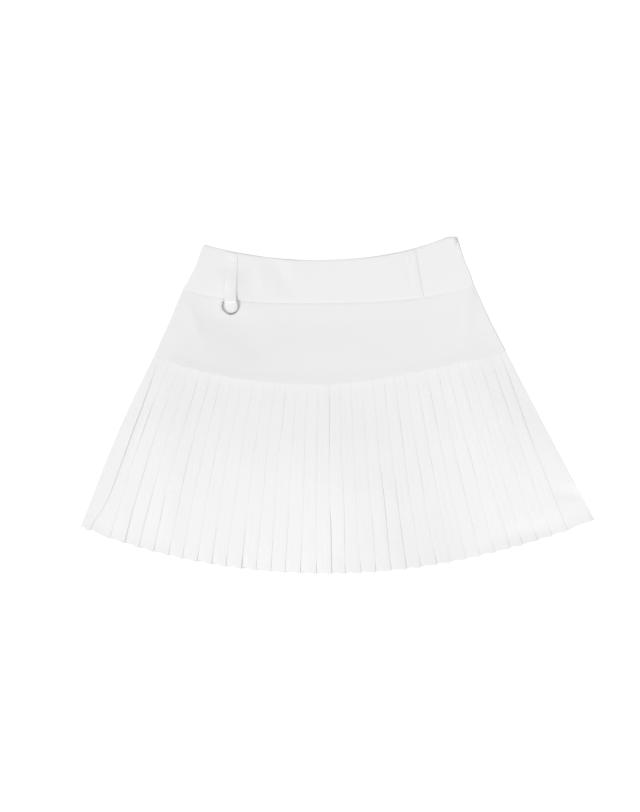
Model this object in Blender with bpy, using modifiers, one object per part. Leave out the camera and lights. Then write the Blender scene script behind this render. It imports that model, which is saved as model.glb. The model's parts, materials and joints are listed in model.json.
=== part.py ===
"""A short pleated skirt, laid flat on its back.

X runs across the skirt, Y towards the waist and Z up off the surface. A shaped waistband and a plain
hip yoke, front and back, carry a knife-pleated lower part. Two belt loops are sewn on the front band.
One is folded round the bar of a metal D-ring. A concealed zip closes the side seam at +X.

Cloth is a wall with its folds in it. Each panel is swept through a few levels across the skirt, from
the waist down to the hem. Sizes are in millimetres, and MM turns them into Blender's metres.
"""

import math
from collections import namedtuple

import bmesh
import bpy

MM = 0.001

# ---------------------------------------------------------------- driving sizes

SEAM_GAP = 0.3
LEVEL_SEAM_HALF = 0.2
BAND_WALL = 1.4
YOKE_WALL = 1.2
PLEAT_WALL = 1.0
LOOP_WALL = 1.0

# Each level is a line across the laid skirt, from the left outline to the right one. It dips below
# the straight line between its ends by sag. A larger bend makes its half of the dip flatter in the
# middle, and right_flat is the share at the right end that doesn't dip. front_z is the height of the
# middle of the front wall, back_z that of the back wall.
Level = namedtuple(
    "Level", "left_x left_y right_x right_y sag left_bend right_bend right_flat front_z back_z"
)
LEVELS = {
    "waist": Level(-176.3, 209.7, 158.0, 219.6, 25.6, 1.9, 2.4, 0.04, 4.0, 0.7),
    "band_middle": Level(-186.2, 181.0, 167.4, 188.8, 23.3, 2.3, 2.6, 0.02, 4.0, 0.7),
    "band_low": Level(-194.7, 164.0, 174.6, 172.5, 21.8, 2.7, 2.8, 0.0, 4.0, 0.7),
    "band_seam": Level(-202.2, 151.5, 179.6, 156.7, 20.7, 3.0, 3.0, 0.0, 4.0, 0.7),
    "yoke_middle": Level(-220.2, 108.3, 200.2, 111.6, 29.6, 2.6, 1.9, 0.0, 4.6, 0.6),
    "yoke_seam": Level(-240.2, 63.7, 221.3, 70.3, 39.6, 2.2, 1.4, 0.0, 5.2, 0.6),
    "pleats_middle": Level(-286.0, -33.3, 274.5, -33.3, 51.1, 2.1, 1.7, 0.0, 0.0, 0.0),
    "hem": Level(-336.5, -160.3, 337.5, -151.1, 65.0, 2.1, 1.95, 0.0, 0.0, 0.0),
}

PLEAT_COUNT = 33
UNDERLAY = 9.0
LAYER_GAP = 0.35
LAYER_STEP = PLEAT_WALL + LAYER_GAP
PLEATS_THICK = 3 * PLEAT_WALL + 2 * LAYER_GAP
FRONT_PLEATS_TOP = 2 * PLEATS_THICK + SEAM_GAP
DIVE_RUN = 3.0
FRONT_FACE_FALL = 0.8
SIDE_CURL = 1.5
CURL_LEAD = 1.0
CURL_LEAD_FALL = 0.3

# Where the first and the last fold cross each level, as a share of the level's length from the left
# end, looking at the wall from outside.
FoldSpread = namedtuple("FoldSpread", "first last")
FOLD_SPREADS = {
    "yoke_seam": FoldSpread(0.017, 0.982),
    "pleats_middle": FoldSpread(0.026, 0.960),
    "hem": FoldSpread(0.032, 0.942),
}

ZIP_INSET = 4.2
ZIP_GAP = 1.5
TAPE_THICK = 1.0
TAPE_WIDTH = 20.0
TAPE_START = 0.35
TAPE_END = 0.75

LoopStrip = namedtuple("LoopStrip", "waist_x foot_x width")
RING_STRIP = LoopStrip(-138.2, -139.6, 15.5)
PLAIN_STRIP = LoopStrip(96.0, 106.8, 12.5)
STRIP_STEPS = 8
STRIP_INSET = 2.0
PLAIN_STRIP_BULGE = 1.2
PLAIN_FOOT_RISE = 1.0
RING_STRIP_LIFT_FROM = 0.25
RING_STRIP_LIFT_POWER = 1.5
TAIL_LENGTH = 9.0

RING_WIRE = 2.2
RING_RADIUS = 11.0
RING_BAR_RISE = 5.6
RING_CORNER = 1.8
RING_BAR_Y = 134.3
RUNNING_GAP = 0.3

SLIDER_WIDTH = 4.6
SLIDER_LENGTH = 7.0
SLIDER_THICK = 1.1
SLIDER_BELOW_WAIST = 5.0
LUG_THICK = 0.8
LUG_RADIUS = 1.65
LUG_HOLE = 1.0
HOLE_SIDES = 16
LUG_STEM = 2.4
LUG_SINK = 0.2
PULL_THICK = 1.0
PULL_BAR = 0.9
PULL_SLOT_WIDTH = 1.5
PULL_SLOT_LENGTH = 2.3
PULL_HEAD_WIDTH = 3.1
PULL_DROP_RADIUS = 2.2
PULL_DROP_SHOULDER = 10
PULL_LENGTH = 13.0


# ---------------------------------------------------------------- lines across the skirt


def lerp(a, b, share):
    return a + (b - a) * share


class Line:
    """One level as a measured curve: point(s) is the place s millimetres along it from the left."""

    STEPS = 240

    def __init__(self, level, shift_y=0.0):
        self.level = level
        self.shift_y = shift_y
        self.shares = [i / self.STEPS for i in range(self.STEPS + 1)]
        places = [self.at_share(share) for share in self.shares]
        self.lengths = [0.0]
        for before, after in zip(places, places[1:]):
            self.lengths.append(self.lengths[-1] + math.dist(before, after))
        self.length = self.lengths[-1]

    def at_share(self, share):
        level = self.level
        x = lerp(level.left_x, level.right_x, share)
        swing = 2.0 * share / (1.0 - level.right_flat) - 1.0
        bend = level.left_bend if swing < 0.0 else level.right_bend
        bow = max(0.0, 1.0 - abs(swing) ** bend)
        y = lerp(level.left_y, level.right_y, share) - level.sag * bow + self.shift_y
        return x, y

    def point(self, s):
        s = min(max(s, 0.0), self.length)
        index = max(i for i, length in enumerate(self.lengths[:-1]) if length <= s)
        run = self.lengths[index + 1] - self.lengths[index]
        share = lerp(self.shares[index], self.shares[index + 1], (s - self.lengths[index]) / run)
        return self.at_share(share)

    def y_at(self, x):
        level = self.level
        return self.at_share((x - level.left_x) / (level.right_x - level.left_x))[1]


def level_between(upper, lower, share):
    return Level(*(lerp(a, b, share) for a, b in zip(LEVELS[upper], LEVELS[lower])))


# ---------------------------------------------------------------- Blender helpers


def clear_scene():
    for old in list(bpy.data.objects):
        bpy.data.objects.remove(old, do_unlink=True)


def make_collection(name):
    collection = bpy.data.collections.new(name)
    bpy.context.scene.collection.children.link(collection)
    return collection


def make_material(name, color, roughness, metallic=0.0):
    material = bpy.data.materials.new(name)
    material.use_nodes = True
    shader = material.node_tree.nodes["Principled BSDF"]
    shader.inputs["Base Color"].default_value = (*color, 1.0)
    shader.inputs["Roughness"].default_value = roughness
    shader.inputs["Metallic"].default_value = metallic
    return material


def add_object(name, data, collection, material):
    made = bpy.data.objects.new(name, data)
    collection.objects.link(made)
    data.materials.append(material)
    return made


def loft(name, rows, collection, material):
    """An open surface through rows of points, which all have the same number of points."""
    across = len(rows[0])
    points = [tuple(value * MM for value in point) for row in rows for point in row]
    faces = []
    for down in range(len(rows) - 1):
        for side in range(across - 1):
            corner = down * across + side
            faces.append((corner, corner + across, corner + across + 1, corner + 1))
    mesh = bpy.data.meshes.new(name)
    mesh.from_pydata(points, [], faces)
    mesh.update()
    return add_object(name, mesh, collection, material)


def thicken(made, wall):
    shell = made.modifiers.new("cloth_wall", "SOLIDIFY")
    shell.thickness = wall * MM
    shell.offset = 0.0
    shell.use_even_offset = True
    return made


def arc(centre, radius, start_deg, end_deg, segments):
    """Points on an arc in a plane, from start_deg to end_deg."""
    points = []
    for i in range(segments + 1):
        angle = math.radians(lerp(start_deg, end_deg, i / segments))
        points.append((centre[0] + radius * math.cos(angle), centre[1] + radius * math.sin(angle)))
    return points


def flat_piece(name, outlines, thick, collection, material):
    """A plate with holes: 2D outlines, the outer one first, in the curve's own XY plane."""
    curve = bpy.data.curves.new(name, "CURVE")
    curve.dimensions = "2D"
    curve.fill_mode = "BOTH"
    curve.extrude = thick / 2 * MM
    for outline in outlines:
        spline = curve.splines.new("POLY")
        spline.points.add(len(outline) - 1)
        for point, (x, y) in zip(spline.points, outline):
            point.co = (x * MM, y * MM, 0.0, 1.0)
        spline.use_cyclic_u = True
    return add_object(name, curve, collection, material)


def as_mesh(made, collection, material):
    """The curve object as a welded mesh object of the same name and place."""
    bpy.context.view_layer.update()
    evaluated = made.evaluated_get(bpy.context.evaluated_depsgraph_get())
    mesh = bpy.data.meshes.new_from_object(evaluated)
    place = made.matrix_world.copy()
    name = made.name
    curve = made.data
    bpy.data.objects.remove(made, do_unlink=True)
    bpy.data.curves.remove(curve)
    weld(mesh)
    mesh.materials.clear()
    solid = add_object(name, mesh, collection, material)
    solid.name = name
    solid.matrix_world = place
    return solid


def weld(mesh):
    work = bmesh.new()
    work.from_mesh(mesh)
    bmesh.ops.remove_doubles(work, verts=work.verts, dist=0.00001)
    bmesh.ops.recalc_face_normals(work, faces=work.faces)
    work.to_mesh(mesh)
    work.free()


# ---------------------------------------------------------------- waistband and yoke

ACROSS = 22
EDGE = YOKE_WALL / 2
SEAM_LIP = 0.4


def front_section(line):
    """The plain front wall: turned down to the side seam on the left, cut off along the zip on the right."""
    level = line.level
    rise = (level.front_z - level.back_z) / 2
    radius = rise - SEAM_GAP / 2 - SEAM_LIP
    turn = [(EDGE, level.front_z - rise + SEAM_GAP / 2)]
    turn += arc((EDGE + radius, level.front_z - radius), radius, 180, 90, 3)
    start = EDGE + radius
    end = line.length - ZIP_INSET - ZIP_GAP / 2
    flat = [(lerp(start, end, i / ACROSS), level.front_z) for i in range(1, ACROSS + 1)]
    return turn + flat


def back_section(line):
    """The plain back wall: turned up to the side seam on the left, rolled over to the zip on the right."""
    level = line.level
    rise = (level.front_z - level.back_z) / 2
    radius = rise - SEAM_GAP / 2 - SEAM_LIP
    turn = [(EDGE, level.back_z + rise - SEAM_GAP / 2)]
    turn += arc((EDGE + radius, level.back_z + radius), radius, 180, 270, 3)
    roll_x = line.length - EDGE - rise
    start = EDGE + radius
    flat = [(lerp(start, roll_x, i / ACROSS), level.back_z) for i in range(1, ACROSS)]
    roll = arc((roll_x, level.back_z + rise), rise, -90, 90, 6)
    lip = [(line.length - ZIP_INSET + ZIP_GAP / 2, level.front_z)]
    return turn + flat + roll + lip


def plain_panel(name, names, wall, section, collection, material):
    """A panel of the waistband or yoke, between seams that leave it half a gap at each end."""
    rows = []
    for index, level_name in enumerate(names):
        shift = 0.0
        if index == 0 and level_name != "waist":
            shift = -LEVEL_SEAM_HALF
        if index == len(names) - 1:
            shift = LEVEL_SEAM_HALF
        line = Line(LEVELS[level_name], shift)
        rows.append([(*line.point(s), z) for s, z in section(line)])
    return thicken(loft(name, rows, collection, material), wall)


# ---------------------------------------------------------------- pleats


def fold_places(line, spread):
    """How far each fold stands from the right end of a level seen from the front, nearest first."""
    nearest = (1.0 - spread.last) * line.length
    farthest = (1.0 - spread.first) * line.length
    return [lerp(nearest, farthest, i / (PLEAT_COUNT - 1)) for i in range(PLEAT_COUNT)]


def pleat_section(line, spread, face_fall):
    """The pleated wall as (distance from its right outline, depth below its outer face).

    Right and left are those of someone looking at the wall's outer side. Each fold edge stands at the
    right of its own face. The face runs left, dives under the next fold edge, goes on below it by the
    underlay and turns back in the middle layer to become that edge.
    """
    outer = PLEAT_WALL / 2
    middle = outer + LAYER_STEP
    inner = middle + LAYER_STEP
    turn = LAYER_STEP / 2
    edge = PLEAT_WALL / 2
    folds = fold_places(line, spread)
    section = [(edge, inner)]
    for index, fold in enumerate(folds):
        far = fold + UNDERLAY - edge - turn
        section += [(x, y) for x, y in arc((far, (inner + middle) / 2), turn, 90, -90, 3)]
        near = fold + edge + turn
        section += [(x, y) for x, y in arc((near, (middle + outer) / 2), turn, 90, 270, 3)]
        if index + 1 < len(folds):
            dive = folds[index + 1] - edge
            section += [(dive - DIVE_RUN, outer + face_fall), (dive, inner)]
    side = line.length - edge
    section += [(side - SIDE_CURL - CURL_LEAD, outer + face_fall * CURL_LEAD_FALL)]
    section += arc((side - SIDE_CURL, outer + SIDE_CURL), SIDE_CURL, -90, 0, 3)
    section += [(side, PLEATS_THICK)]
    return section


def pleated_panel(name, facing_up, collection, material):
    rows = []
    fall = FRONT_FACE_FALL if facing_up else 0.0
    for level_name, spread in FOLD_SPREADS.items():
        shift = -LEVEL_SEAM_HALF if level_name == "yoke_seam" else 0.0
        line = Line(LEVELS[level_name], shift)
        row = []
        for s, depth in pleat_section(line, spread, fall):
            if facing_up:
                row.append((*line.point(line.length - s), FRONT_PLEATS_TOP - depth))
            else:
                row.append((*line.point(s), depth))
        rows.append(row)
    return thicken(loft(name, rows, collection, material), PLEAT_WALL)


# ---------------------------------------------------------------- belt loops and D-ring

BAND_TOP = LEVELS["band_seam"].front_z + BAND_WALL / 2
STRIP_LOW = BAND_TOP + SEAM_GAP + LOOP_WALL / 2
RING_BAR_Z = STRIP_LOW + LOOP_WALL / 2 + RUNNING_GAP + RING_WIRE / 2
WRAP_RADIUS = RING_WIRE / 2 + RUNNING_GAP + LOOP_WALL / 2


def strip(name, plan, path, collection, material):
    """A strip of cloth whose path is (share of the way from the waist to the foot, y offset, z)."""
    waist = Line(LEVELS["waist"])
    rows = []
    for share, foot_y, z in path:
        middle_x = lerp(plan.waist_x, plan.foot_x, share)
        row = []
        for side in (-0.5, 0.0, 0.5):
            x = middle_x + side * plan.width
            y = lerp(waist.y_at(x) - STRIP_INSET, foot_y, share)
            row.append((x, y, z))
        rows.append(row)
    return thicken(loft(name, rows, collection, material), LOOP_WALL)


def plain_loop(collection, material):
    foot_y = Line(LEVELS["band_seam"]).y_at(PLAIN_STRIP.foot_x) + PLAIN_FOOT_RISE
    path = []
    for i in range(STRIP_STEPS + 1):
        share = i / STRIP_STEPS
        path.append((share, foot_y, STRIP_LOW + PLAIN_STRIP_BULGE * math.sin(math.pi * share) ** 2))
    return strip("belt_loop_plain", PLAIN_STRIP, path, collection, material)


def ring_loop(collection, material):
    """Down over the band, round the ring's bar and back up behind itself."""
    top_of_bar = RING_BAR_Z + WRAP_RADIUS
    path = []
    for i in range(STRIP_STEPS):
        share = i / STRIP_STEPS
        lift = max(0.0, share - RING_STRIP_LIFT_FROM) / (1.0 - RING_STRIP_LIFT_FROM)
        path.append((share, RING_BAR_Y, lerp(STRIP_LOW, top_of_bar, lift**RING_STRIP_LIFT_POWER)))
    for y, z in arc((RING_BAR_Y, RING_BAR_Z), WRAP_RADIUS, 90, 270, 8):
        path.append((1.0, y, z))
    path.append((1.0, RING_BAR_Y + TAIL_LENGTH, RING_BAR_Z - WRAP_RADIUS))
    return strip("belt_loop_ring", RING_STRIP, path, collection, material)


def ring_outline():
    """The D as a closed line: its bar along the top, corners turned in arcs, the rest one round bow."""
    corner_x = math.sqrt((RING_RADIUS - RING_CORNER) ** 2 - (RING_BAR_RISE - RING_CORNER) ** 2)
    meet = math.degrees(math.atan2(RING_BAR_RISE - RING_CORNER, corner_x))
    right = arc((corner_x, -RING_CORNER), RING_CORNER, 90, meet, 3)
    bow = arc((0.0, -RING_BAR_RISE), RING_RADIUS, meet, -180 - meet, 26)
    left = arc((-corner_x, -RING_CORNER), RING_CORNER, 180 - meet, 90, 3)
    return right + bow[1:-1] + left


def yoke_top_at(x, y):
    """Height of the front yoke's upper face, part of the way from the band seam to the yoke seam."""
    upper = LEVELS["band_seam"]
    lower = LEVELS["yoke_middle"]
    high = Line(upper).y_at(x)
    low = Line(lower).y_at(x)
    return lerp(upper.front_z, lower.front_z, (high - y) / (high - low)) + YOKE_WALL / 2


def d_ring(collection, material):
    outline = ring_outline()
    curve = bpy.data.curves.new("d_ring", "CURVE")
    curve.dimensions = "3D"
    curve.bevel_depth = RING_WIRE / 2 * MM
    curve.bevel_resolution = 3
    spline = curve.splines.new("POLY")
    spline.points.add(len(outline) - 1)
    for point, (x, y) in zip(spline.points, outline):
        point.co = (x * MM, y * MM, 0.0, 1.0)
    spline.use_cyclic_u = True
    ring = add_object("d_ring", curve, collection, material)
    reach = RING_RADIUS + RING_BAR_RISE
    rest_z = yoke_top_at(RING_STRIP.foot_x, RING_BAR_Y - reach) + SEAM_GAP + RING_WIRE / 2
    ring.location = (RING_STRIP.foot_x * MM, RING_BAR_Y * MM, RING_BAR_Z * MM)
    ring.rotation_euler = (math.asin((RING_BAR_Z - rest_z) / reach), 0.0, 0.0)
    return ring


# ---------------------------------------------------------------- concealed zip


def zip_place(level_name):
    """Where the zip crosses a level, ZIP_INSET in from the right outline."""
    line = Line(LEVELS[level_name])
    return line.point(line.length - ZIP_INSET)


def zip_tape(collection, material):
    """Both tapes and the closed chain as one plain strip, from under the slider to inside the yoke."""
    levels = [level_between("waist", "band_middle", TAPE_START)]
    levels += [LEVELS[name] for name in ("band_middle", "band_low", "band_seam", "yoke_middle")]
    levels += [level_between("yoke_middle", "yoke_seam", TAPE_END)]
    rows = []
    for level in levels:
        line = Line(level)
        outer = line.length - EDGE - (level.front_z - level.back_z) / 2
        z = level.back_z + BAND_WALL / 2 + SEAM_GAP + TAPE_THICK / 2
        row = []
        for across in (TAPE_WIDTH, TAPE_WIDTH / 2, 0.0):
            row.append((*line.point(outer - across), z))
        rows.append(row)
    return thicken(loft("zip_tape", rows, collection, material), TAPE_THICK)


def lug_outline():
    """The lug from the side: a ring on a stem, with local y along the skirt and local z as height."""
    meet = math.degrees(math.acos(LUG_STEM / 2 / LUG_RADIUS))
    ring = arc((0.0, 0.0), LUG_RADIUS, -meet, 180 + meet, 20)
    foot = -(pull_axis_z() - slider_top() + LUG_SINK)
    return [(LUG_STEM / 2, foot)] + ring + [(-LUG_STEM / 2, foot)]


def slider_top():
    return LEVELS["waist"].front_z - BAND_WALL / 2 - SEAM_GAP


def pull_axis_z():
    return LEVELS["waist"].front_z + BAND_WALL / 2 + SEAM_GAP + PULL_THICK / 2


def zip_turn():
    """The angle from straight down the skirt to the way the zip runs from the waist."""
    top_x, top_y = zip_place("waist")
    low_x, low_y = zip_place("band_middle")
    return math.atan2(low_x - top_x, top_y - low_y)


def pull_axis():
    x, y = zip_place("waist")
    turn = zip_turn()
    return (
        x + SLIDER_BELOW_WAIST * math.sin(turn),
        y - SLIDER_BELOW_WAIST * math.cos(turn),
        pull_axis_z(),
    )


def zip_slider(collection, material):
    x, y, z = pull_axis()
    hole = arc((0.0, 0.0), LUG_HOLE, 0, 360 - 360 / HOLE_SIDES, HOLE_SIDES - 1)
    lug = flat_piece("lug", [lug_outline(), hole], LUG_THICK, collection, material)
    lug.location = (x * MM, y * MM, z * MM)
    lug.rotation_euler = (math.pi / 2, 0.0, math.pi / 2 + zip_turn())
    lug = as_mesh(lug, collection, material)
    body_z = slider_top() - SLIDER_THICK / 2
    bpy.ops.mesh.primitive_cube_add(size=1.0, location=(x * MM, y * MM, body_z * MM))
    body = bpy.context.object
    body.rotation_euler = (0.0, 0.0, zip_turn())
    body.name = "zip_slider"
    body.scale = (SLIDER_WIDTH * MM, SLIDER_LENGTH * MM, SLIDER_THICK * MM)
    bpy.ops.object.transform_apply(location=False, rotation=False, scale=True)
    for owner in list(body.users_collection):
        owner.objects.unlink(body)
    collection.objects.link(body)
    body.data.materials.append(material)
    union = body.modifiers.new("lug", "BOOLEAN")
    union.operation = "UNION"
    union.object = lug
    return lug


def zip_pull(collection, material):
    """A drop-shaped tab whose head is a bar through the lug."""
    half_head = PULL_HEAD_WIDTH / 2
    drop_y = -(PULL_LENGTH - PULL_DROP_RADIUS)
    outline = [(-half_head, PULL_BAR / 2), (-half_head, -PULL_SLOT_LENGTH)]
    outline += arc(
        (0.0, drop_y), PULL_DROP_RADIUS, 180 - PULL_DROP_SHOULDER, 360 + PULL_DROP_SHOULDER, 14
    )
    outline += [(half_head, -PULL_SLOT_LENGTH), (half_head, PULL_BAR / 2)]
    half_slot = PULL_SLOT_WIDTH / 2
    slot = [
        (-half_slot, -PULL_BAR / 2),
        (-half_slot, -PULL_BAR / 2 - PULL_SLOT_LENGTH),
        (half_slot, -PULL_BAR / 2 - PULL_SLOT_LENGTH),
        (half_slot, -PULL_BAR / 2),
    ]
    tab = flat_piece("zip_pull", [outline, slot], PULL_THICK, collection, material)
    tab.location = tuple(value * MM for value in pull_axis())
    tab.rotation_euler = (0.0, 0.0, zip_turn())
    return as_mesh(tab, collection, material)


# ---------------------------------------------------------------- the whole skirt


def build():
    clear_scene()
    skirt = make_collection("pleated_skirt")
    cutters = make_collection("cutters")
    cloth = make_material("white_cloth", (0.86, 0.86, 0.86), 0.85)
    metal = make_material("silver_metal", (0.72, 0.72, 0.73), 0.25, 1.0)
    enamel = make_material("white_enamel", (0.8, 0.8, 0.8), 0.4)

    band = ("waist", "band_middle", "band_low", "band_seam")
    yoke = ("band_seam", "yoke_middle", "yoke_seam")
    plain_panel("waistband_front", band, BAND_WALL, front_section, skirt, cloth)
    plain_panel("waistband_back", band, BAND_WALL, back_section, skirt, cloth)
    plain_panel("yoke_front", yoke, YOKE_WALL, front_section, skirt, cloth)
    plain_panel("yoke_back", yoke, YOKE_WALL, back_section, skirt, cloth)
    pleated_panel("pleats_front", True, skirt, cloth)
    pleated_panel("pleats_back", False, skirt, cloth)
    plain_loop(skirt, cloth)
    ring_loop(skirt, cloth)
    d_ring(skirt, metal)
    zip_tape(skirt, cloth)
    zip_pull(skirt, enamel)
    lug = zip_slider(skirt, enamel)
    skirt.objects.unlink(lug)
    cutters.objects.link(lug)
    lug.hide_render = True
    lug.display_type = "WIRE"


build()
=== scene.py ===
"""Looks of a short white pleated skirt, laid flat on its back.

X runs across the skirt, Y towards the waist and Z up. Sizes are in millimetres and MM turns them into
metres. The cloth is built on the same level lines as the solids: a shaped waistband and a plain hip
yoke over knife pleats that flare to the hem. Each panel is one thin shell with its folds in it.
"""

import json
from bisect import bisect_right
from collections import namedtuple
from itertools import accumulate
from math import asin, atan2, cos, degrees, dist, exp, pi, radians, sin, sqrt

import bmesh
import bpy
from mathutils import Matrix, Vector, noise


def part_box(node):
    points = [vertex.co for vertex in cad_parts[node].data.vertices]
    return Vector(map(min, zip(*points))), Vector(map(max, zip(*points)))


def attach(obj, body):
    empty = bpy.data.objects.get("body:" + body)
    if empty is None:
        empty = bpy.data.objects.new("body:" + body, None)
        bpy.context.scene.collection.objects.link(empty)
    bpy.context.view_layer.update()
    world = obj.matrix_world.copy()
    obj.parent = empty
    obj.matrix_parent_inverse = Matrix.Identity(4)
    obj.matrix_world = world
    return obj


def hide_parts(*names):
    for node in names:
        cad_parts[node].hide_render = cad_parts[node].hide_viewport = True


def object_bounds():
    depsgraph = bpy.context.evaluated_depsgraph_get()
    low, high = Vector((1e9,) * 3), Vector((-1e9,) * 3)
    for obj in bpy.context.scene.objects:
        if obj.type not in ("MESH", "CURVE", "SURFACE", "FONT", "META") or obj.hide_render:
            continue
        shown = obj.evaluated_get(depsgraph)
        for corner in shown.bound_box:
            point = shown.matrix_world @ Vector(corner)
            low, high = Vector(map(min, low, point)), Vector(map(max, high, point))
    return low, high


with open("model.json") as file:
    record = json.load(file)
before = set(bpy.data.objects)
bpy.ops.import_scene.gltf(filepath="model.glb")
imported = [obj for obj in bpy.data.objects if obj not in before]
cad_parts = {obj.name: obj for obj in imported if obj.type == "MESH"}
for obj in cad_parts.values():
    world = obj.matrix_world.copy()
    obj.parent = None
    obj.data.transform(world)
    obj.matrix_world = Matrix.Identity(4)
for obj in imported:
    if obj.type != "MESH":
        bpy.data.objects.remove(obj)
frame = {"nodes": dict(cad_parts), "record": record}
CAD_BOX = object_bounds()

MM = 0.001

# ---- driving sizes

# Each level is a line across the laid skirt, from the left outline to the right one. It dips below
# the straight line between its ends by sag. A larger bend makes its half of the dip flatter in the
# middle, and right_flat is the share at the right end that doesn't dip. front_z is the height of the
# middle of the front wall, back_z that of the back wall.
Level = namedtuple(
    "Level", "left_x left_y right_x right_y sag left_bend right_bend right_flat front_z back_z"
)
LEVELS = {
    "waist": Level(-176.3, 209.7, 158.0, 219.6, 25.6, 1.9, 2.4, 0.04, 4.0, 0.7),
    "band_middle": Level(-186.2, 181.0, 167.4, 188.8, 23.3, 2.3, 2.6, 0.02, 4.0, 0.7),
    "band_low": Level(-194.7, 164.0, 174.6, 172.5, 21.8, 2.7, 2.8, 0.0, 4.0, 0.7),
    "band_seam": Level(-202.2, 151.5, 179.6, 156.7, 20.7, 3.0, 3.0, 0.0, 4.0, 0.7),
    "yoke_middle": Level(-220.2, 108.3, 200.2, 111.6, 29.6, 2.6, 1.9, 0.0, 4.6, 0.6),
    "yoke_seam": Level(-240.2, 63.7, 221.3, 70.3, 39.6, 2.2, 1.4, 0.0, 5.2, 0.6),
    "pleats_middle": Level(-286.0, -33.3, 274.5, -33.3, 51.1, 2.1, 1.7, 0.0, 4.6, 0.6),
    "hem": Level(-336.5, -160.3, 337.5, -151.1, 65.0, 2.1, 1.95, 0.0, 4.0, 0.6),
}
BAND = ("waist", "band_middle", "band_low", "band_seam")
YOKE = ("band_seam", "yoke_middle", "yoke_seam")
PLEATS = ("yoke_seam", "pleats_middle", "hem")

BAND_CLOTH = 1.1
YOKE_CLOTH = 0.6
PLEAT_CLOTH = 0.06
LOOP_CLOTH = 0.3
SIDE_SEAM_GAP = 0.1

PLEAT_COUNT = 33
UNDERLAY_SHARE = 0.38
LAYER_STEP = 0.08

# Where the first and the last fold cross each level of the pleats, as shares of the level's length.
FIRST_FOLDS = (0.017, 0.026, 0.032)
LAST_FOLDS = (0.982, 0.960, 0.942)

# Where each pleat stands open: rows of start, end and strength, where start and end are shares of the
# way from the yoke seam to the hem.
OPEN_STRETCHES = {
    0: ((0.0, 0.18, 0.6), (0.18, 0.52, 2.0), (0.52, 0.8, 1.1), (0.8, 1.0, 1.3)),
    1: ((0.25, 0.45, 1.1),),
    2: ((0.5, 0.8, 0.5), (0.8, 1.0, 1.0)),
    3: ((0.66, 0.95, 0.6),),
    4: ((0.0, 0.3, 0.3), (0.72, 0.95, 0.4)),
    5: ((0.0, 0.12, 0.3), (0.4, 0.8, 0.25)),
    6: ((0.0, 0.2, 0.25),),
    8: ((0.8, 1.0, 0.3),),
    10: ((0.8, 1.0, 0.5),),
    12: ((0.82, 1.0, 0.3),),
    14: ((0.82, 1.0, 0.2),),
    16: ((0.0, 0.4, 0.3), (0.7, 1.0, 0.9)),
    17: ((0.6, 0.9, 0.2),),
    20: ((0.5, 0.95, 0.4),),
    21: ((0.0, 0.12, 0.3), (0.55, 0.95, 0.3)),
    22: ((0.2, 0.6, 0.15),),
    24: ((0.1, 0.35, 0.15),),
    26: ((0.5, 0.9, 0.1),),
    32: ((0.08, 0.5, 0.5),),
}

# How far the corners of the folds stand open at the hem: the last pleat of each run, and its strength.
OPEN_CORNERS = ((1, 0.1), (4, 0.26), (9, 0.32), (10, 0.48), (15, 0.26), (23, 0.2), (32, 0.1))

# Soft ridges, or troughs where height is negative, along a line on the laid front.
Crease = namedtuple("Crease", "start_x start_y end_x end_y width height")
CREASES = (
    Crease(-194.0, 132.0, -176.0, 78.0, 7.5, 0.55),
    Crease(-160.0, 126.0, -138.0, 80.0, 16.0, -0.3),
    Crease(-120.0, 112.0, -104.0, 60.0, 20.0, -0.5),
    Crease(176.0, 150.0, 165.0, 84.0, 7.0, 0.7),
    Crease(-84.0, 192.0, -62.0, 148.0, 11.0, -0.6),
    Crease(-106.0, 190.0, -98.0, 150.0, 9.0, 0.4),
    Crease(90.0, 186.0, 99.0, 146.0, 4.0, -0.22),
    Crease(-139.0, 172.0, -139.0, 122.0, 19.0, 1.95),
    Crease(282.0, -115.0, 322.0, -117.0, 8.0, -0.8),
    Crease(215.0, -174.0, 292.0, -160.0, 12.0, -0.9),
)
SWELLS = (
    Crease(-196.0, 30.0, -236.0, -170.0, 30.0, 2.2),
    Crease(8.0, 30.0, 6.0, -190.0, 78.0, 3.8),
    Crease(190.0, 30.0, 226.0, -150.0, 55.0, 1.6),
)

# The flat cuts: width and length in metres, area in square metres, and what each panel rests on.
FlatCut = namedtuple("FlatCut", "size area rests_on")


# ---- lines across the skirt


def lerp(a, b, share):
    return a + (b - a) * share


def spaced(start, end, steps):
    """Evenly spaced values from start to end."""
    return [lerp(start, end, i / steps) for i in range(steps + 1)]


def smooth_step(low, high, value):
    share = min(max((value - low) / (high - low), 0.0), 1.0)
    return share * share * (3.0 - 2.0 * share)


def window(start, full, fade, end, value):
    """Rises smoothly from 0 to 1 between start and full, and falls back between fade and end."""
    return smooth_step(start, full, value) * (1.0 - smooth_step(fade, end, value))


def bell(away, width):
    return exp(-((away / width) ** 2))


def runs(places):
    """How far along a path each of its points lies."""
    return [0.0, *accumulate(dist(a, b) for a, b in zip(places, places[1:]))]


def headings(places):
    """The way that a path runs at each of its points."""
    before, after = [places[0], *places[:-1]], [*places[1:], places[-1]]
    return [(b - a).normalized() for a, b in zip(before, after)]


def wander(across, down, seed):
    """A smooth drift from about -1 to 1, always the same at the same place."""
    return noise.noise(Vector((across, down, seed)))


def find_gap(knots, at):
    """Which gap between rising knots a place is in, and its share of the way across that gap."""
    index = min(max(bisect_right(knots, at) - 1, 0), len(knots) - 2)
    return index, (at - knots[index]) / (knots[index + 1] - knots[index])


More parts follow.
